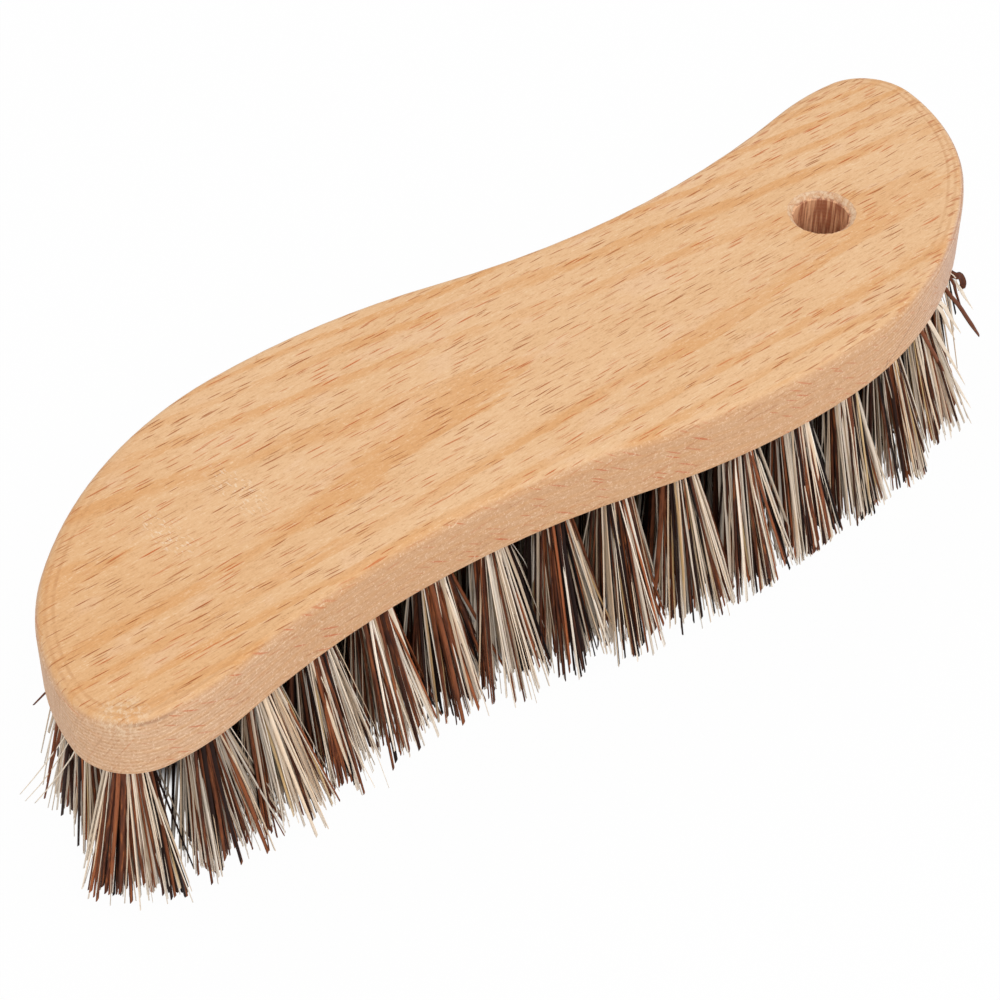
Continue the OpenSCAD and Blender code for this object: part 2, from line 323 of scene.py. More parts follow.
def beech():
    """Raw sanded beech in millimetres: growth rings, dark ray flecks, fine grain, and the worn places."""
    wood = Finish("beech")
    place = wood.node("ShaderNodeTexCoord", out="Object")
    measured = wood.node("ShaderNodeMapping", None, {"Vector": place, "Scale": (1 / MM,) * 3})
    grain = wood.node(
        "ShaderNodeMapping",
        None,
        {"Vector": measured, "Rotation": (0, 0, -math.radians(GRAIN_TURN))},
    )
    x, y, z = wood.split(measured)
    along, across, up = wood.split(grain)
    sideways, _, facing = wood.split(wood.node("ShaderNodeNewGeometry", out="Normal"))
    flat = facing.rise(0.5, 0.95)
    wall = 1 - flat
    fall = TOP / MM - z

    # Growth rings round the middle of the tree, with fingers where the grain wanders
    wander = wood.noise(wood.join(along / 60, across / 9, up / 9), detail=2) - 0.5
    finger = wood.noise(wood.join(along / 12, across / 1.3, up / 4), detail=3) - 0.5
    beside = across - PITH_ASIDE + along * PITH_TURN
    above = up - PITH_BELOW + along * PITH_SINK
    radius = (beside * beside + above * above) ** 0.5 + wander * 1.3 + finger * 0.85
    ring = ((radius - FIRST_RING) / RING_WIDTH).math("FRACT")
    patch = wood.noise(wood.join(along / 32, across / 7, up / 7), detail=2).rise(0.32, 0.62)
    late = ring.rise(0.56, 0.74) * ring.rise(1, 0.95) * (patch * 0.6 + 0.4)

    blush = wood.noise(wood.join(along / 50, across / 14, up / 14), detail=2).rise(0.35, 0.65)
    colour = wood.mix(blush, WOOD["plain"], WOOD["blushed"])
    colour = wood.mix(x.rise(-45, -95) * 0.7, colour, WOOD["first end"])
    # Walls and rounded edges turn darker and pinker than the top: partly the side grain's own tone, partly
    # painted shade of surfaces that turn away from the light above
    walls = wood.mix(x.rise(-62, -92), WOOD["wall"], WOOD["wall of the first end"])
    walls = wood.mix(x.rise(50, 90), walls, WOOD["wall of the second end"])
    colour = wood.mix(wall * 0.85, colour, walls)
    bloom = wood.noise(wood.join(along / 11, across / 5, up / 5), detail=3).rise(0.56, 0.7) * flat
    colour = wood.mix(bloom * 0.28, colour, WOOD["bloom"])
    colour = wood.mix(late * (0.2 + 0.42 * flat), colour, WOOD["late ring"])

    # Fine fibre along the grain, and the sanding lines round the walls, clearest at the ends
    fine = wood.noise(wood.join(along / 1.4, across / 0.27, up / 0.27), detail=3, roughness=0.6) - 0.5
    grit = wood.noise(measured, detail=2, roughness=0.7, scale=3.2) - 0.5
    streak = wood.noise(wood.join(along / 22, across / 1.1, up / 0.9), detail=2) - 0.5
    wave = wood.noise(wood.join(along / 25, across / 25, z / 3), detail=1) * 5
    rows = (z * (math.tau / SANDING) + wave).math("SINE")
    ends = (x * x).rise(50 * 50, 88 * 88)
    sanded = 0.02 + 0.04 * ends + x.rise(38, 60) * 0.05
    shade = fine * 0.43 + grit * 0.27 + streak * 0.16 + rows * wall * sanded
    colour = wood.mix(shade.rise(0, -0.24), colour, WOOD["fine shade"])
    colour = wood.mix(shade.rise(0, 0.24), colour, WOOD["fine light"])

    # Ray flecks: thin dark lenses that stand round the middle of the tree like the leaves of a book
    bend = wood.noise(wood.join(along / 14, across / 6, up / 6), detail=1) - 0.5
    turned = (across - PITH_ASIDE).math("ARCTAN2", up - PITH_BELOW) * FIRST_RING + bend * 1.2

    def flecks(lay, long, wide, least, most, seed):
        cells = wood.node(
            "ShaderNodeTexVoronoi",
            {"voronoi_dimensions": "2D"},
            {"Vector": wood.join(along / long + seed, lay / wide, 0), "Scale": 1, "Randomness": 0.85},
        )
        chance, _, depth = wood.split(Link(wood, cells.socket.node.outputs["Color"]))
        share = cells / (chance * (most - least) + least) + fine * 0.25
        return share.rise(1.05, 0.45) * (depth * 0.6 + 0.4)

    strength = 0.35 + 0.65 * flat
    fleck = flecks(turned, *FLECKS[0]).math("MAXIMUM", flecks(turned, *FLECKS[1])) * strength
    faint = flecks(turned, *FAINT_FLECKS) * strength
    some = wood.noise(wood.join(along / 20, across / 20, z / 20), detail=1).rise(0.36, 0.5)
    tilted = flecks(z + along * WALL_FLECK_FALL, *WALL_FLECKS) * wall * some * x.rise(62, 40)
    redness = wood.noise(wood.join(along / 18, across / 5, up / 5)).rise(0.42, 0.58)
    dark = wood.mix(redness, WOOD["dark fleck"], WOOD["red fleck"])
    colour = wood.mix(faint * 0.42, colour, WOOD["faint fleck"])
    colour = wood.mix(fleck * 0.92, colour, dark)
    colour = wood.mix(tilted * 0.9, colour, WOOD["wall fleck"])
    edge = flecks(turned, *EDGE_FLECKS) * fall.rise(0, 0.02) * x.rise(25, 45) * (1 - wall)
    colour = wood.mix(edge * 0.75, colour, WOOD["edge fleck"])
    for foot_x, foot_z, lean, top_z in SCRATCHES:
        aside = (x - foot_x - (z - foot_z) * lean).math("ABSOLUTE") / math.hypot(1, lean)
        length = z.rise(top_z, top_z - 1) * z.rise(foot_z - 1, foot_z)
        scratch = aside.rise(0.16, 0.05) * length * y.rise(0, -1)
        colour = wood.mix(scratch * wall * 0.6, colour, WOOD["scratch"])

    # End grain at the two tips, where the surface faces along the grain: pores and slanting rays
    end = (sideways * sideways).rise(0.35, 0.9) * wall
    pores = wood.noise(wood.join(across / 0.3, up / 0.3, along / 3), detail=2, roughness=0.7)
    rays = wood.noise(wood.join(turned / 0.45, radius / 7, along / 2), detail=1)
    colour = wood.mix(end * pores.rise(0.5, 0.75) * 0.3, colour, WOOD["pore"])
    colour = wood.mix(end * rays.rise(0.54, 0.7) * 0.4, colour, WOOD["ray"])

    # Painted shade of two faint ridges that the shaping cutter left beside the rounded edge of each end:
    # darker lines, as the shape has no such ridges
    inner_ridge_shade = fall.rise(0.002, 0.012) * fall.rise(0.036, 0.02)
    outer_ridge_shade = fall.rise(0.05, 0.07) * fall.rise(0.15, 0.09)
    ridge_shade = inner_ridge_shade.math("MAXIMUM", outer_ridge_shade) * ends * (streak * 2 + 0.75)
    colour = wood.mix(ridge_shade * 0.34, colour, WOOD["ridge_shade"])

    # Torn pale fibre at the first tip's corner with a painted shadow under its lip, dry scuffs on the top,
    # and fuzz on the walls
    def spot(at, reach):
        far = wood.node("ShaderNodeVectorMath", {"operation": "DISTANCE"}, {0: measured, 1: at}, out="Value")
        return far.rise(reach, reach * 0.35)

    def upright(at, reach):
        aside = (x - at[0]) * 2.4
        far = (aside * aside + (y - at[1]) * (y - at[1])) ** 0.5
        return far.rise(reach, reach * 0.4) * flat

    crumbs = wood.noise(measured, detail=4, roughness=0.75, scale=1.1)
    specks = wood.noise(wood.join(x / 0.5, y / 1.3, z), detail=3, roughness=0.7).rise(0.54, 0.64)
    torn = spot(*TORN_CORNER) * crumbs.rise(0.45, 0.6)
    scuff = upright(*SCUFFS[0]).math("MAXIMUM", upright(*SCUFFS[1])) * specks
    # Painted shadow: a thin dark line on the rounded edge under the torn lip
    lip = fall.rise(0.6, 0.85) * fall.rise(1.35, 1.05) * spot(*LIP_SHADOW)
    colour = wood.mix(torn * 0.62, colour, WOOD["torn"])
    colour = wood.mix(scuff * 0.6, colour, WOOD["scuff"])
    colour = wood.mix(lip * 0.45, colour, WOOD["lip"])
    fuzz = wood.noise(measured, detail=2, roughness=0.8, scale=2.3).rise(0.57, 0.68) * wall
    colour = wood.mix(fuzz * 0.62, colour, WOOD["fuzz"])

    # The hanging hole: a pale torn bevel and a darker, streaked bore
    beside_hole = wood.node("ShaderNodeVectorMath", {"operation": "SUBTRACT"}, {0: place, 1: HANG_AT})
    ax, ay, _ = wood.split(beside_hole)
    away = (ax * ax + ay * ay) ** 0.5
    bore = away.rise(HANG_R + 0.5 * MM, HANG_R + 0.1 * MM)
    bevel = away.rise(HANG_R + 1.35 * MM, HANG_R + 1.0 * MM) * (1 - bore)
    stripes = wood.noise(wood.join(ax * 1400, ay * 1400, up / 9), detail=2, roughness=0.6)
    drilled_wood = wood.mix(stripes.rise(0.4, 0.62), WOOD["bore"], WOOD["bore streak"])
    colour = wood.mix(bore * 0.85, colour, drilled_wood)
    colour = wood.mix(bevel * crumbs.rise(0.4, 0.62) * 0.75, colour, WOOD["hole rim"])

    height = shade * 0.4 - fleck * 0.7 + torn * 0.4 + bevel * crumbs * 0.8 + pores * end * 0.4
    rough = 0.58 - shade * 0.3 + fleck * 0.15
    return wood.surface(colour, rough, height, 0.09 * MM, **{"Specular IOR Level": 0.35})


# Colour of a fibre by its kind: cream to tan, a few yellow, then red-brown to near black
FIBRE_SHADES = [
    (0.0, linear(248, 236, 220)),
    (0.3, linear(240, 219, 194)),
    (0.5, linear(220, 190, 156)),
    (0.56, linear(226, 193, 138)),
    (0.62, linear(162, 94, 60)),
    (0.72, linear(128, 74, 50)),
    (0.82, linear(92, 50, 34)),
    (0.91, linear(50, 29, 23)),
    (1.0, linear(26, 18, 18)),
]
# Colours of the marks on a fibre, and of the shade painted on it
FIBRE = {
    # Orange mottling of brown fibres, partly their own colour and partly painted glints
    "orange mottle and glint": linear(188, 110, 62),
    "dark": linear(30, 17, 13),
    # Painted shade on the rounded edges of brown fibres
    "painted edge shade": linear(44, 25, 19),
    "tan": linear(176, 152, 126),
    "bleached": linear(236, 223, 208),
    "cut tip": linear(240, 233, 224),
    # Painted shade, deep in a tuft and near the block
    "deep": linear(22, 12, 9),
}


def plant_fibre():
    """Stiff plant fibre. Its attributes hold each fibre's kind, its chance shade, the places along and
    across it, and how deep in the tuft it stands, which sets the painted shade that darkens it there."""
    fibre = Finish("plant_fibre")
    tag = fibre.node("ShaderNodeAttribute", {"attribute_name": "fibre"}, out="Color")
    kind, chance, along = fibre.split(tag)
    side = Link(fibre, tag.socket.node.outputs["Alpha"])
    deep = fibre.node("ShaderNodeAttribute", {"attribute_name": "deep"}, out="Fac")
    place = fibre.node("ShaderNodeTexCoord", out="Object")
    x, y, z = fibre.split(place)
    colour = fibre.node("ShaderNodeValToRGB", {"stops": FIBRE_SHADES}, {"Fac": kind})
    mottle = fibre.noise(fibre.join(side * 1.1, along * 7, chance * 90), detail=3, roughness=0.65)
    wide = fibre.noise(fibre.join(x * 400, y * 400 + chance * 60, z * 90), detail=1)
    woody = kind.rise(0.57, 0.62)
    brown = woody * kind.rise(0.92, 0.84)
    # Orange streaks along brown fibres: partly their own mottling, partly painted glints of their gloss
    colour = fibre.mix(mottle.rise(0.5, 0.68) * brown * 0.55, colour, FIBRE["orange mottle and glint"])
    colour = fibre.mix(mottle.rise(0.48, 0.34) * woody * 0.55, colour, FIBRE["dark"])
    # Painted shade: brown fibres darker towards both edges of their width, as on a rounded fibre's shaded
    # sides
    colour = fibre.mix((side * side).rise(0.3, 1) * woody * 0.5, colour, FIBRE["painted edge shade"])
    colour = fibre.mix(mottle.rise(0.52, 0.76) * (1 - woody) * 0.45, colour, FIBRE["tan"])
    colour = fibre.mix(wide.rise(0.5, 0.7) * (1 - woody) * 0.3, colour, FIBRE["bleached"])
    lift = chance * 0.46 + 0.76
    colour = fibre.node("ShaderNodeHueSaturation", None, {"Color": colour, "Value": lift})
    tip = along.rise(0.8, 1)
    colour = fibre.mix(tip * (1 - woody) * 0.4, colour, FIBRE["cut tip"])
    # Painted shade: fibres deep in a tuft are darkened towards the block
    colour = fibre.mix(deep * 0.88, colour, FIBRE["deep"])
    rough = 0.45 + mottle * 0.25
    return fibre.surface(colour, rough, mottle, 0.05 * MM, **{"Specular IOR Level": 0.12})


def bright_wire():
    """Drawn galvanised wire, dulled in long streaks."""
    wire = Finish("steel_wire")
    place = wire.node("ShaderNodeTexCoord", out="Object")
    x, y, z = wire.split(place)
    streaks = wire.noise(wire.join(x * 900, y * 900, z * 5000), detail=3)
    colour = wire.mix(streaks.rise(0.35, 0.65), linear(176, 178, 182), linear(206, 208, 212))
    return wire.surface(colour, 0.3 + streaks * 0.2, streaks, 0.01 * MM, Metallic=1)


def pale_floor():
    """White to the camera apart from the brush's own soft shadow, which stays deep between the tufts."""
    floor = Finish("floor")
    light = floor.node("ShaderNodeLightPath").socket.node
    camera, glossy, through = (
        Link(floor, light.outputs[name])
        for name in ("Is Camera Ray", "Is Glossy Ray", "Is Transmission Ray")
    )
    seen = camera.math("MAXIMUM", glossy).math("MAXIMUM", through)
    x, y, _ = floor.split(floor.node("ShaderNodeTexCoord", out="Object"))
    along = x / UNDER_BRUSH[0]
    across = (y - x * BRUSH_LIE) / UNDER_BRUSH[1]
    clear = (along * along + across * across).rise(0.75, 1)
    paper = floor.node("ShaderNodeBsdfDiffuse", None, {"Color": linear(238, 238, 238)})
    white = floor.node("ShaderNodeEmission", None, {"Color": (1, 1, 1, 1), "Strength": 1})
    both = floor.node("ShaderNodeMixShader", None, {0: seen * clear * FLOOR_LIFT, 1: paper, 2: white})
    floor.node("ShaderNodeOutputMaterial", None, {"Surface": both})
    return floor.material


FLOOR_SIDE = 6
FLOOR_LIFT = 0.97
# Half-length and half-width of the floor between the tufts, and how it lies along the brush
UNDER_BRUSH = (97 * MM, 23 * MM)
BRUSH_LIE = -0.095
ROOM_LIGHT = 0.58
# Lamps as name, place, side and power: the key from the front left, a fill from the right, one behind
LAMPS = [
    ("key", (-0.55, -0.75, 0.95), 0.7, 6.0),
    ("fill", (0.8, -0.6, 0.7), 0.9, 3.1),
    ("back", (0.1, 0.9, 0.9), 0.9, 2.8),
]


def set_stage():
    """A plain pale floor, an even bright room and three soft lamps."""
    bpy.context.scene.view_settings.view_transform = "Standard"
    bm = bmesh.new()
    bmesh.ops.create_grid(bm, x_segments=1, y_segments=1, size=FLOOR_SIDE / 2)
    mesh = bpy.data.meshes.new("floor")
    bm.to_mesh(mesh)
    bm.free()
    mesh.materials.append(pale_floor())
    floor = bpy.data.objects.new("floor", mesh)
    bpy.context.scene.collection.objects.link(floor)

    world = bpy.data.worlds.new("room")
    bpy.context.scene.world = world
    world.use_nodes = True
    tree = world.node_tree
    light = tree.nodes.new("ShaderNodeLightPath")
    level = tree.nodes.new("ShaderNodeMapRange")
    level.inputs["To Min"].default_value = ROOM_LIGHT
    level.inputs["To Max"].default_value = 1
    tree.links.new(light.outputs["Is Camera Ray"], level.inputs["Value"])
    tree.nodes["Background"].inputs["Color"].default_value = (1, 1, 1, 1)
    tree.links.new(level.outputs["Result"], tree.nodes["Background"].inputs["Strength"])

    for name, place, side, power in LAMPS:
        data = bpy.data.lights.new(name, "AREA")
        data.size = side
        data.energy = power
        lamp = bpy.data.objects.new(name, data)
        lamp.location = place
        lamp.rotation_euler = Vector(place).to_track_quat("Z", "Y").to_euler()
        bpy.context.scene.collection.objects.link(lamp)


def as_object(bm, name):
    mesh = bpy.data.meshes.new(name)
    bm.to_mesh(mesh)
    bm.free()
    piece = bpy.data.objects.new(name, mesh)
    bpy.context.scene.collection.objects.link(piece)
    return piece


def trace_outline(bm):
    """Draws the S-shaped outline: a point is spun about the centre of each arc in turn."""
    heading = LIE
    point = bm.verts.new((0, 0, 0))
    half_way = None
    for side in range(2):
        for radius, turn in ARCS:
            angle = math.radians(heading)
            centre = point.co + radius * MM * Vector((math.sin(angle), -math.cos(angle), 0))
            spun = bmesh.ops.spin(
                bm,
                geom=[point],
                cent=centre,
                axis=(0, 0, 1),
                angle=-math.radians(turn),
                steps=math.ceil(abs(turn) / ARC_STEP),
            )
            point = next(v for v in spun["geom_last"] if isinstance(v, bmesh.types.BMVert))
            heading -= turn
        if side == 0:
            half_way = point.co.copy()
    bmesh.ops.remove_doubles(bm, verts=bm.verts, dist=0.01 * MM)
    bmesh.ops.translate(bm, verts=bm.verts, vec=Vector((0, 0, UNDERSIDE)) - half_way / 2)


def level_edges(bm, height):
    """The edges of the outline at one height that bound a wall."""
    return [
        e
        for e in bm.edges
        if all(abs(v.co.z - height) < 1e-7 for v in e.verts)
        and any(abs(f.normal.z) < 0.5 for f in e.link_faces)
    ]


def bare_block():
    """The block before drilling: outline, walls, a crowned top and rounded edges."""
    bm = bmesh.new()
    trace_outline(bm)
    bmesh.ops.contextual_create(bm, geom=bm.edges[:])
    bmesh.ops.recalc_face_normals(bm, faces=bm.faces)
    made = bmesh.ops.extrude_face_region(bm, geom=bm.faces[:])["geom"]
    shoulder = TOP - UNDERSIDE - CROWN
    bmesh.ops.translate(
        bm, verts=[v for v in made if isinstance(v, bmesh.types.BMVert)], vec=(0, 0, shoulder)
    )
    bmesh.ops.recalc_face_normals(bm, faces=bm.faces)
    top = [f for f in bm.faces if f.normal.z > 0.5]
    bmesh.ops.inset_region(
        bm, faces=top, thickness=CROWN_WIDTH, depth=CROWN, use_even_offset=True, use_boundary=True
    )
    edges = [(UNDERSIDE + shoulder, EDGE_ROUND, EDGE_STEPS), (UNDERSIDE, UNDER_BEVEL, UNDER_STEPS)]
    for height, width, rounds in edges:
        bm.normal_update()
        bmesh.ops.bevel(
            bm,
            geom=level_edges(bm, height),
            offset=width,
            offset_type="OFFSET",
            segments=rounds,
            profile=0.5,
            affect="EDGES",
            material=-1,
        )
    return as_object(bm, "beech_block")


def hanging_cutter():
    """The drill and its countersinks: a profile spun round the hole's axis, with a torn upper rim."""
    bm = bmesh.new()
    wide = HANG_R + HANG_BEVEL + CUT_OVER
    profile = [
        (0, UNDERSIDE - CUT_OVER),
        (wide, UNDERSIDE - CUT_OVER),
        (HANG_R, UNDERSIDE + HANG_BEVEL),
        (HANG_R, TOP - HANG_BEVEL),
        (wide, TOP + CUT_OVER),
        (0, TOP + CUT_OVER),
    ]
    points = [bm.verts.new((HANG_AT.x + r, HANG_AT.y, z)) for r, z in profile]
    for a, b in zip(points, points[1:]):
        bm.edges.new((a, b))
    axis_at = (HANG_AT.x, HANG_AT.y, 0)
    bmesh.ops.spin(
        bm,
        geom=bm.verts[:] + bm.edges[:],
        cent=axis_at,
        axis=(0, 0, 1),
        angle=math.tau,
        steps=HANG_STEPS,
        use_merge=True,
    )
    bmesh.ops.remove_doubles(bm, verts=bm.verts, dist=0.005 * MM)
    bmesh.ops.recalc_face_normals(bm, faces=bm.faces)
    for v in bm.verts:
        out = Vector((v.co.x - HANG_AT.x, v.co.y - HANG_AT.y, 0))
        if v.co.z > TOP and out.length > HANG_R:
            v.co += out.normalized() * TORN * noise.noise(v.co / TORN_SIZE)
        elif v.co.z > TOP - 2 * HANG_BEVEL and out.length > HANG_R / 2:
            v.co.z += BEVEL_TORN * noise.noise(v.co / BEVEL_TORN_SIZE)
    return as_object(bm, "hanging_drill")


def hole_of(name):
    """The mouth of a tuft's hole and the direction up it, read from the root of the tuft's solid."""
    points = {tuple(round(c / MM, 3) for c in v.co) for v in frame["nodes"][name].data.vertices}
    points = sorted(points, key=lambda p: p[2])
    high = [Vector(p) for p in points[-ROOT_SIDES:]]
    low_z = min((abs(p[2] - (UNDERSIDE / MM - ROOT_FOOT)), p[2]) for p in points)[1]
    low = [Vector(p) for p in points if abs(p[2] - low_z) < 0.01]
    low = [p for p in low if (p - sum(low, Vector()) / len(low)).length < 2 * HOLE_R / MM]
    top = sum(high, Vector()) / len(high) * MM
    bottom = sum(low, Vector()) / len(low) * MM
    axis = (top - bottom).normalized()
    mouth = bottom + axis * (UNDERSIDE - bottom.z) / axis.z
    return mouth, axis


def tuft_cutter(holes):
    """One drill for each tuft hole."""
    bm = bmesh.new()
    for mouth, axis in holes:
        middle = mouth + axis * (HOLE_DEEP - HOLE_R) / 2
        bmesh.ops.create_cone(
            bm,
            cap_ends=True,
            segments=HOLE_STEPS,
            radius1=HOLE_R,
            radius2=HOLE_R,
            depth=HOLE_DEEP + HOLE_R,
            matrix=Matrix.Translation(middle) @ axis.to_track_quat("Z", "Y").to_matrix().to_4x4(),
        )
    return as_object(bm, "tuft_drills")


def drilled(piece, cutters):
    """Cuts the holes and makes the result the piece's own mesh."""
    for cutter in cutters:
        cut = piece.modifiers.new(cutter.name, "BOOLEAN")
        cut.operation = "DIFFERENCE"
        cut.solver = "EXACT"
        cut.object = cutter
    bpy.context.view_layer.update()
    shaped = piece.evaluated_get(bpy.context.evaluated_depsgraph_get())
    mesh = bpy.data.meshes.new_from_object(shaped)
    piece.modifiers.clear()
    piece.data = mesh
    for cutter in cutters:
        bpy.data.objects.remove(cutter)
    mesh.shade_smooth()
    mesh.set_sharp_from_angle(angle=SHARP_WOOD)
    even = piece.modifiers.new("even_shading", "WEIGHTED_NORMAL")
    even.keep_sharp = True
    return piece


def make_block(holes):
    block = drilled(bare_block(), [hanging_cutter(), tuft_cutter(holes)])
    block.data.materials.append(beech())
    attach(block, "root")
    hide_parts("block")


# A folded fibre runs from one tip, into the hole, over the wire and down to its other tip.
# Its rings lie at these shares of the way from the tip to the hole's mouth on each leg.
LEG = [0.0, 0.3, 0.65, 1.0]
RINGS = 2 * len(LEG) + 3
FOLD_DEPTH = 7.4 * MM
NECK_DEPTH = 5.6 * MM
ROOT_R = 2.95 * MM
# How many times wider a tuft is at its tips, outwards and towards its neighbours
SPREAD = 1.75
FAN = 0.52
LEAST_FAN = 2.15
MOST_FAN = 3.5
INNER_SPREAD = 1.65
# The outer tufts lean out further in the middle of each long side, and less at the two ends
LEAN_OUT = 1.3 * MM
FLARE = 3.6 * MM
FLARE_AT = 18 * MM
FLARE_LENGTH = 45 * MM
END_DRAW = 2.6 * MM
END_AT = (76 * MM, 92 * MM)
# Two corners of the brush, half a turn apart, lean in further still
CORNER_DRAW = 3 * MM
CORNER_AT = (68 * MM, 78 * MM)
# How much shorter single fibres and whole locks are than the longest, and the least for any
TIP_RAGGED = 3.2 * MM
LOCK_RAGGED = 1.8 * MM
TIP_CLEAR = 0.1 * MM
# The slanting cut of a fibre's end
SLANT = 0.3
SLANT_LENGTH = 3
# Share of the width left at a cut end, and the rings over which it narrows
CUT_END = (0.72, 2)
# Chance sideways move of a tip, more for a thin fibre, and the bow of a leg
LOOSE = 1.1 * MM
THIN_LOOSE = 0.4 * MM
BOW = 0.22 * MM
# A fibre narrower than this is thin, and a share of the thin ones stray further
THIN = 0.16 * MM
STRAY_SHARE = 0.14
STRAY_MORE = 1.7
# How far past the low and the high side of the solids' box a tip may reach, along x and y
REACH = ((2.7 * MM, 1.7 * MM), (2.7 * MM, -0.1 * MM))
FIRST_SEED = 1000

# Kinds of fibre: share of the tuft, range of kind, half-widths wide and thick in millimetres
CREAM = (0.0, 0.5)
KINDS = [
    (0.43, CREAM, (0.15, 0.36), (0.11, 0.18)),
    (0.18, CREAM, (0.09, 0.14), (0.08, 0.12)),
    (0.03, (0.54, 0.58), (0.16, 0.3), (0.13, 0.2)),
    (0.14, (0.62, 0.78), (0.19, 0.48), (0.15, 0.24)),
    (0.12, (0.78, 0.9), (0.2, 0.54), (0.16, 0.26)),
    (0.1, (0.92, 1.0), (0.2, 0.5), (0.16, 0.26)),
]
FOLDED_FIBRES = 130
# Fibres fill the hole evenly when each is turned this far from the last
GOLDEN_TURN = math.pi * (3 - math.sqrt(5))
# Fibres of one kind lie together in locks about this wide, and a lock's tips draw together
LOCK = 1.5 * MM
GATHER = 4 * MM
# How strongly the lock, the tuft and chance decide a fibre's kind
LOCK_PULL = 0.5
TUFT_PULL = 0.06
CHANCE_PULL = 0.44

# Places along the curled fibre and the long spike at the right end, in millimetres
CURL = [
    (82.6, -24.2, 28.2),
    (84.2, -24.2, 27.3),
    (85.1, -24.3, 26),
    (85.6, -24.4, 24.6),
    (85.7, -24.2, 23.2),
]
SPIKE = [
    (80.3, -24.9, 26),
    (83.4, -25.6, 21.5),
    (86.2, -26, 17),
    (88.4, -26.3, 13.5),
    (90.8, -26.2, 10),
]
# Fibres that stand apart in the photograph, as kind, half-widths wide and thick, the share of the
# width left at the tip, and places from below the block to the tip, in millimetres
STRAYS = [
    # Brown one behind the left end
    (0.8, 0.22, 0.2, 0.6, [(-97, 9.7, 25), (-97.8, 10.8, 23), (-98.8, 13.2, 19)]),
    # Pale hairs at the left end
    (0.1, 0.12, 0.1, 0.6, [(-99.7, 1.5, 24), (-102.3, 7.7, 11), (-106.1, 9.4, 6)]),
    (0.2, 0.1, 0.09, 0.6, [(-100.4, 0.1, 24), (-102.1, 6.6, 10), (-105.1, 9.9, 3)]),
    (0.15, 0.13, 0.1, 0.6, [(-100.5, -1.4, 23), (-101.9, 5, 10), (-104.2, 8.5, 3)]),
    # Curl at the right end, with a brown fibre, a pale shard and a hair beside it
    (0.84, 0.7, 0.3, 0.9, CURL),
    (0.8, 0.32, 0.22, 0.5, [(81.9, -24.3, 27.5), (83.2, -24.8, 24), (84.7, -25.3, 20)]),
    (0.1, 0.36, 0.1, 0.08, [(84, -24.3, 25), (86.5, -24.6, 21), (89.8, -24.7, 16)]),
    (0.2, 0.11, 0.1, 0.6, [(82.2, -24.2, 28.5), (83.2, -24.6, 26.5), (84.4, -25.1, 24)]),
    # Spike
    (0.77, 0.42, 0.36, 0.5, SPIKE),
    # Pale ones under it
    (0.18, 0.42, 0.14, 0.15, [(76, -26.8, 27), (80, -26.7, 21), (84, -26.7, 15)]),
    (0.3, 0.42, 0.14, 0.15, [(74.8, -27.2, 27), (79.2, -26.7, 20), (83.2, -26.2, 13.5)]),
    (0.22, 0.42, 0.14, 0.15, [(69.7, -29, 28), (76, -29.7, 17), (82, -30.8, 6)]),
    (0.05, 0.44, 0.12, 0.1, [(77.6, -28.8, 12), (80.5, -30.4, 6), (82.6, -32.6, 0.8)]),
    (0.72, 0.4, 0.25, 0.6, [(66.7, -29.9, 28), (73.8, -30.6, 15), (78.3, -31.8, 4)]),
    (0.05, 0.4, 0.1, 0.3, [(74.1, -30, 12), (74.4, -32.6, 6), (73.6, -35.4, 0.8)]),
]
STRAY_SIDES = 6
STRAY_SHADE = 0.6
STRAY_TIP_RINGS = 4


def fibre_form(name, sides, rings):
    """A straight fibre up the Z axis, one ring for each unit of height, with slanted cut ends."""
    bm = bmesh.new()
    bmesh.ops.create_circle(bm, cap_ends=True, segments=sides, radius=1)
    bmesh.ops.spin(
        bm,
        geom=bm.faces[:],
        cent=(0, 0, 0),
        axis=(0, 0, 1),
        dvec=(0, 0, 1),
        angle=0,
        steps=rings - 1,
    )
    bmesh.ops.remove_doubles(bm, verts=bm.verts, dist=1e-4)
    bmesh.ops.recalc_face_normals(bm, faces=bm.faces)
    for v in bm.verts:
        if v.co.z < 0.5:
            v.co.z += SLANT * v.co.x
        elif v.co.z > rings - 1.5:
            v.co.z += SLANT * v.co.y
    mesh = bpy.data.meshes.new(name)
    bm.to_mesh(mesh)
    bm.free()
    return mesh


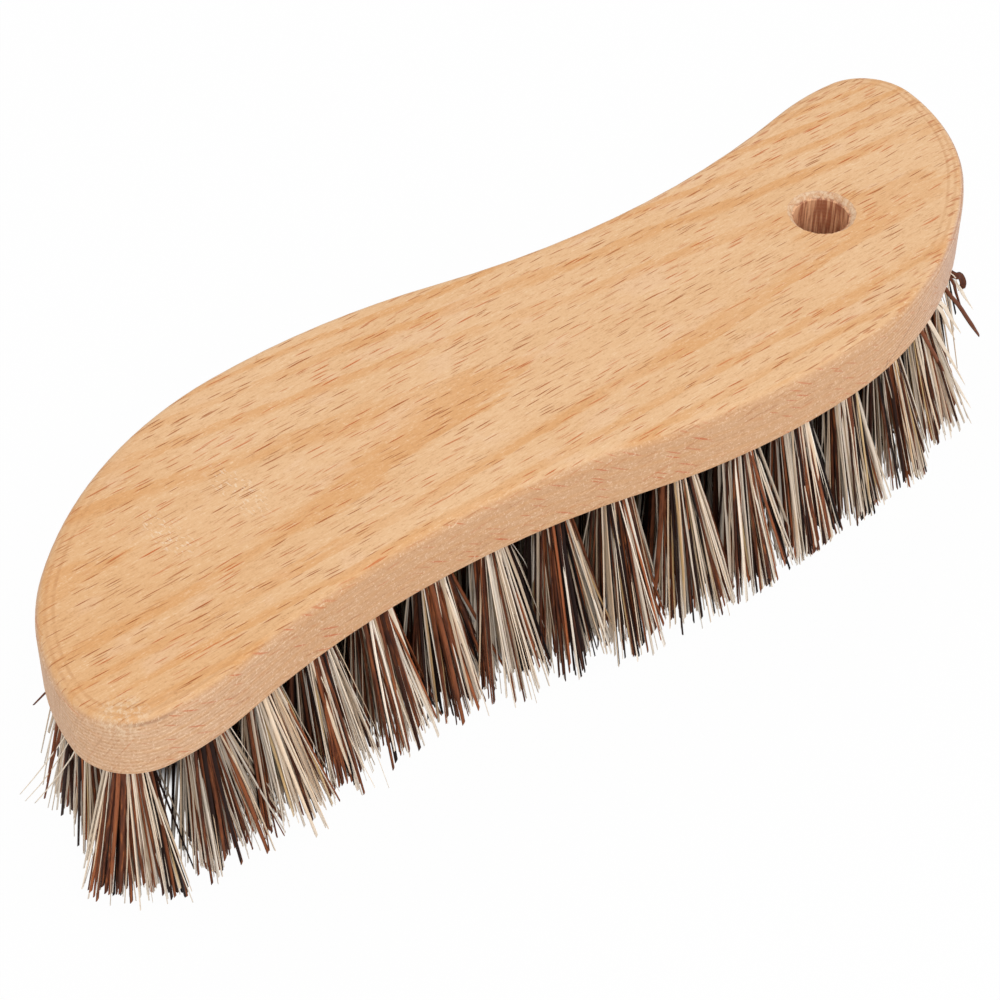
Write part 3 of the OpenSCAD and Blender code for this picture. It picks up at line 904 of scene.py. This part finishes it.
class Bundle:
    """The fibres of one tuft, and what their material reads at each point."""

    def __init__(self):
        self.bm = bmesh.new()
        self.tags = []

    def lay(self, form, path, size, side, shade, painted_shade_depths, end=CUT_END, facing=None):
        """Adds one fibre along the path. size is its half-widths wide and thick, shade its kind and its
        chance shade, and painted_shade_depths say how deep in the tuft its first and second leg stand, which
        sets how much shade is painted on each. A fibre with facing turns its width across that direction."""
        start = len(self.bm.verts)
        self.bm.from_mesh(form)
        self.bm.verts.ensure_lookup_table()
        wide, thick = size
        end_share, end_rings = end
        last = len(path) - 1
        frames = []
        for k, point in enumerate(path):
            forward = (path[min(k + 1, last)] - path[max(k - 1, 0)]).normalized()
            side = forward.cross(facing) if facing else side - forward * side.dot(forward)
            side.normalize()
            frames.append((point, side, forward.cross(side), forward))
        for v in self.bm.verts[start:]:
            ring = min(max(round(v.co.z), 0), last)
            point, across, out, forward = frames[ring]
            rings_in = min(ring, last - ring)
            taper = end_share + (1 - end_share) * min(rings_in / end_rings, 1)
            slant = (v.co.z - ring) * wide * SLANT_LENGTH
            place = v.co.x
            aside = across * (place * wide * taper) + out * (v.co.y * thick * taper)
            v.co = point + aside + forward * slant
            along = 1 - min(rings_in / (len(LEG) - 1), 1)
            deep = painted_shade_depths[0] if ring < last / 2 else painted_shade_depths[1]
            # The painted shade is full from the hole's mouth about a third of the way down a leg, and fades
            # to none at its tip
            self.tags.append((*shade, along, place, deep * min(1.5 * (1 - along), 1)))

    def finish(self, name, material):
        """Makes the tuft an object that stands in for its solid."""
        self.bm.normal_update()
        piece = as_object(self.bm, name.replace("tuft", "fibre_tuft"))
        mesh = piece.data
        attribute = mesh.attributes.new("fibre", "FLOAT_COLOR", "POINT")
        attribute.data.foreach_set("color", [c for tag in self.tags for c in tag[:4]])
        attribute = mesh.attributes.new("deep", "FLOAT", "POINT")
        attribute.data.foreach_set("value", [tag[4] for tag in self.tags])
        mesh.shade_smooth()
        mesh.set_sharp_from_angle(angle=SHARP_FIBRE)
        mesh.materials.append(material)
        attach(piece, "root")
        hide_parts(name)


def leg_points(mouth, tip, bend):
    """Points from the tip up to the hole's mouth on a gentle curve."""
    return [tip.lerp(mouth, t) + bend * (4 * t * (1 - t)) for t in LEG]


def kept_inside(tip, middle):
    """Draws a tip in towards its tuft until it is close to the box of the solids."""
    while not all(LOW[k] - REACH[0][k] < tip[k] < HIGH[k] + REACH[1][k] for k in (0, 1)):
        tip = tip.lerp(middle, 0.2)
    return tip


def fan_of(name):
    """How much wider a tuft is at its tips, so that it meets the tufts beside it."""
    tip = tip_of(name)
    gaps = sorted((tip_of(other) - tip).length for other in TUFTS if other != name)
    return min(max(FAN * gaps[1] / ROOT_R, LEAST_FAN), MOST_FAN)


def flare_of(name):
    """How much further out a tuft of the outer row leans than its hole does."""
    if name.startswith("inner"):
        return 0
    mouth = HOLES[name][0]
    along = math.copysign(mouth.x, -mouth.x * mouth.y)
    at_end = min(max((abs(mouth.x) - END_AT[0]) / (END_AT[1] - END_AT[0]), 0), 1)
    at_corner = min(max((along - CORNER_AT[0]) / (CORNER_AT[1] - CORNER_AT[0]), 0), 1)
    swell = FLARE * math.exp(-(((along - FLARE_AT) / FLARE_LENGTH) ** 2))
    return LEAN_OUT + swell - END_DRAW * at_end - CORNER_DRAW * at_corner


def tip_of(name):
    """The middle of a tuft's tips, on the surface that the brush stands on."""
    mouth, axis = HOLES[name]
    return mouth - axis * (UNDERSIDE / axis.z)


def kind_of(chance, spot, bias):
    """Picks a kind of fibre: neighbours in a tuft tend to be alike."""
    roll = 0.5 + bias + LOCK_PULL * noise.noise(spot / LOCK) + chance.uniform(-CHANCE_PULL, CHANCE_PULL)
    roll = min(max(roll, 0), 0.999)
    total = 0
    for kind in KINDS:
        total += kind[0]
        if roll < total:
            return kind
    return KINDS[-1]


def drawn(places):
    """A smooth curve through the places."""
    around = [places[0], *places, places[-1]]
    curve = []
    for before, start, stop, after in zip(around, around[1:], around[2:], around[3:]):
        for t in (0, 1 / 3, 2 / 3):
            bow = (2 * before - 5 * start + 4 * stop - after) * t * t
            sway = (3 * start - before - 3 * stop + after) * t**3
            curve.append((2 * start + (stop - before) * t + bow + sway) / 2)
    return curve + [places[-1]]


def make_tuft(name, number, forms, material):
    """A bundle of fibres folded in two over the wire, fanning out below the block."""
    mouth, axis = HOLES[name]
    chance = random.Random(FIRST_SEED + number)
    out = Vector((-axis.x, -axis.y, 0)).normalized()
    tangent = Vector((0, 0, 1)).cross(out)
    out_up = out - axis * out.dot(axis)
    flare = flare_of(name)
    inner = name.startswith("inner")
    bias = chance.uniform(-TUFT_PULL, TUFT_PULL)
    fan = fan_of(name) * (INNER_SPREAD if inner else 1)
    spread = fan if inner else SPREAD
    # Each tuft reads its own part of the noise
    apart = number * 5 * LOCK
    bundle = Bundle()

    def leg(x, y, wide, loose, bow):
        """One leg of a fibre, from its tip to the hole's mouth, and its place inside the hole."""
        root = mouth + out_up * x + tangent * y
        lock = Vector((x, y, apart)) / LOCK
        short = SLANT * SLANT_LENGTH * wide + TIP_CLEAR + chance.random() ** 2 * TIP_RAGGED
        short += max(0.5 + noise.noise(lock * 0.8), 0) * LOCK_RAGGED
        middle = mouth - axis * ((UNDERSIDE - short) / axis.z)
        lean = x * spread + flare * (0.6 + 0.4 * x / ROOT_R)
        gather = noise.noise_vector(lock * 0.7) * GATHER
        tip = middle + out * (lean + gather.x) + tangent * (y * fan + gather.y)
        tip += Vector((chance.gauss(0, loose), chance.gauss(0, loose), 0))
        tip = kept_inside(tip, middle)
        bend = Vector((chance.gauss(0, bow), chance.gauss(0, bow), 0))
        return leg_points(root, tip, bend), root + axis * NECK_DEPTH

    for k in range(FOLDED_FIBRES):
        radius = ROOT_R * math.sqrt((k + 0.5) / FOLDED_FIBRES)
        angle = k * GOLDEN_TURN + chance.uniform(-0.3, 0.3)
        x0, y0 = abs(radius * math.cos(angle)), radius * math.sin(angle)
        _, kinds, widths, thicknesses = kind_of(chance, Vector((x0, y0, apart)), bias)
        wide = chance.uniform(*widths) * MM
        thick = chance.uniform(*thicknesses) * MM
        thin = wide < THIN
        stray = STRAY_MORE if thin and chance.random() < STRAY_SHARE else 1
        loose = (LOOSE + THIN_LOOSE * thin) * stray
        legs = []
        painted_shade_depths = []
        for way in (1, -1):
            x = way * max(x0 + chance.uniform(-0.3, 0.3) * MM, 0.35 * MM)
            y = y0 + chance.uniform(-0.4, 0.4) * MM
            legs.append(leg(x, y, wide, loose, BOW * stray))
            # Painted shade: every leg of an inner tuft is darkened fully, and in an outer tuft the inward
            # leg more than the outward one
            painted_shade_share = 0.45 - 0.6 * x / ROOT_R
            painted_shade_depths.append(1 if inner else min(max(painted_shade_share, 0), 1))
        fold = mouth + tangent * (y0 * 0.9) + axis * (FOLD_DEPTH - chance.uniform(0, 0.6) * MM)
        (first, neck_a), (second, neck_b) = legs
        path = first + [neck_a, fold, neck_b] + second[::-1]
        turn = chance.uniform(0, math.pi)
        side = math.cos(turn) * out + math.sin(turn) * tangent
        form = forms["thin" if thin else "stout"]
        shade = (chance.uniform(*kinds), chance.random())
        bundle.lay(form, path, (wide, thick), side, shade, painted_shade_depths)

    for kind, wide, thick, end_share, places in STRAYS:
        places = [Vector(place) * MM for place in places]
        if name == min(TUFTS, key=lambda other: (HOLES[other][0] - places[0]).length):
            towards = Vector((*(places[0] - mouth).xy, 0)).normalized()
            root = mouth + towards * 0.8 * ROOT_R
            second, neck = leg(-0.5 * ROOT_R, 0, wide * MM, 0.5 * MM, 0)
            path = drawn(places[::-1] + [root])
            path += [root + axis * NECK_DEPTH, mouth + axis * FOLD_DEPTH, neck, *second[::-1]]
            form = fibre_form("stray_fibre", STRAY_SIDES, len(path))
            size = (wide * MM, thick * MM)
            end = (end_share, STRAY_TIP_RINGS)
            bundle.lay(form, path, size, out, (kind, STRAY_SHADE), (0, 0), end, towards_camera())
    bundle.finish(name, material)


set_camera()
set_stage()
HOLES = {name: hole_of(name) for name in TUFTS}
make_block(list(HOLES.values()))
fibre_forms = {
    "stout": fibre_form("stout_fibre", 5, RINGS),
    "thin": fibre_form("thin_fibre", 4, RINGS),
}
fibre_material = plant_fibre()
for number, name in enumerate(TUFTS):
    make_tuft(name, number, fibre_forms, fibre_material)
anchors = frame["nodes"]["wire_anchors"]
anchors.data.materials.clear()
anchors.data.materials.append(bright_wire())
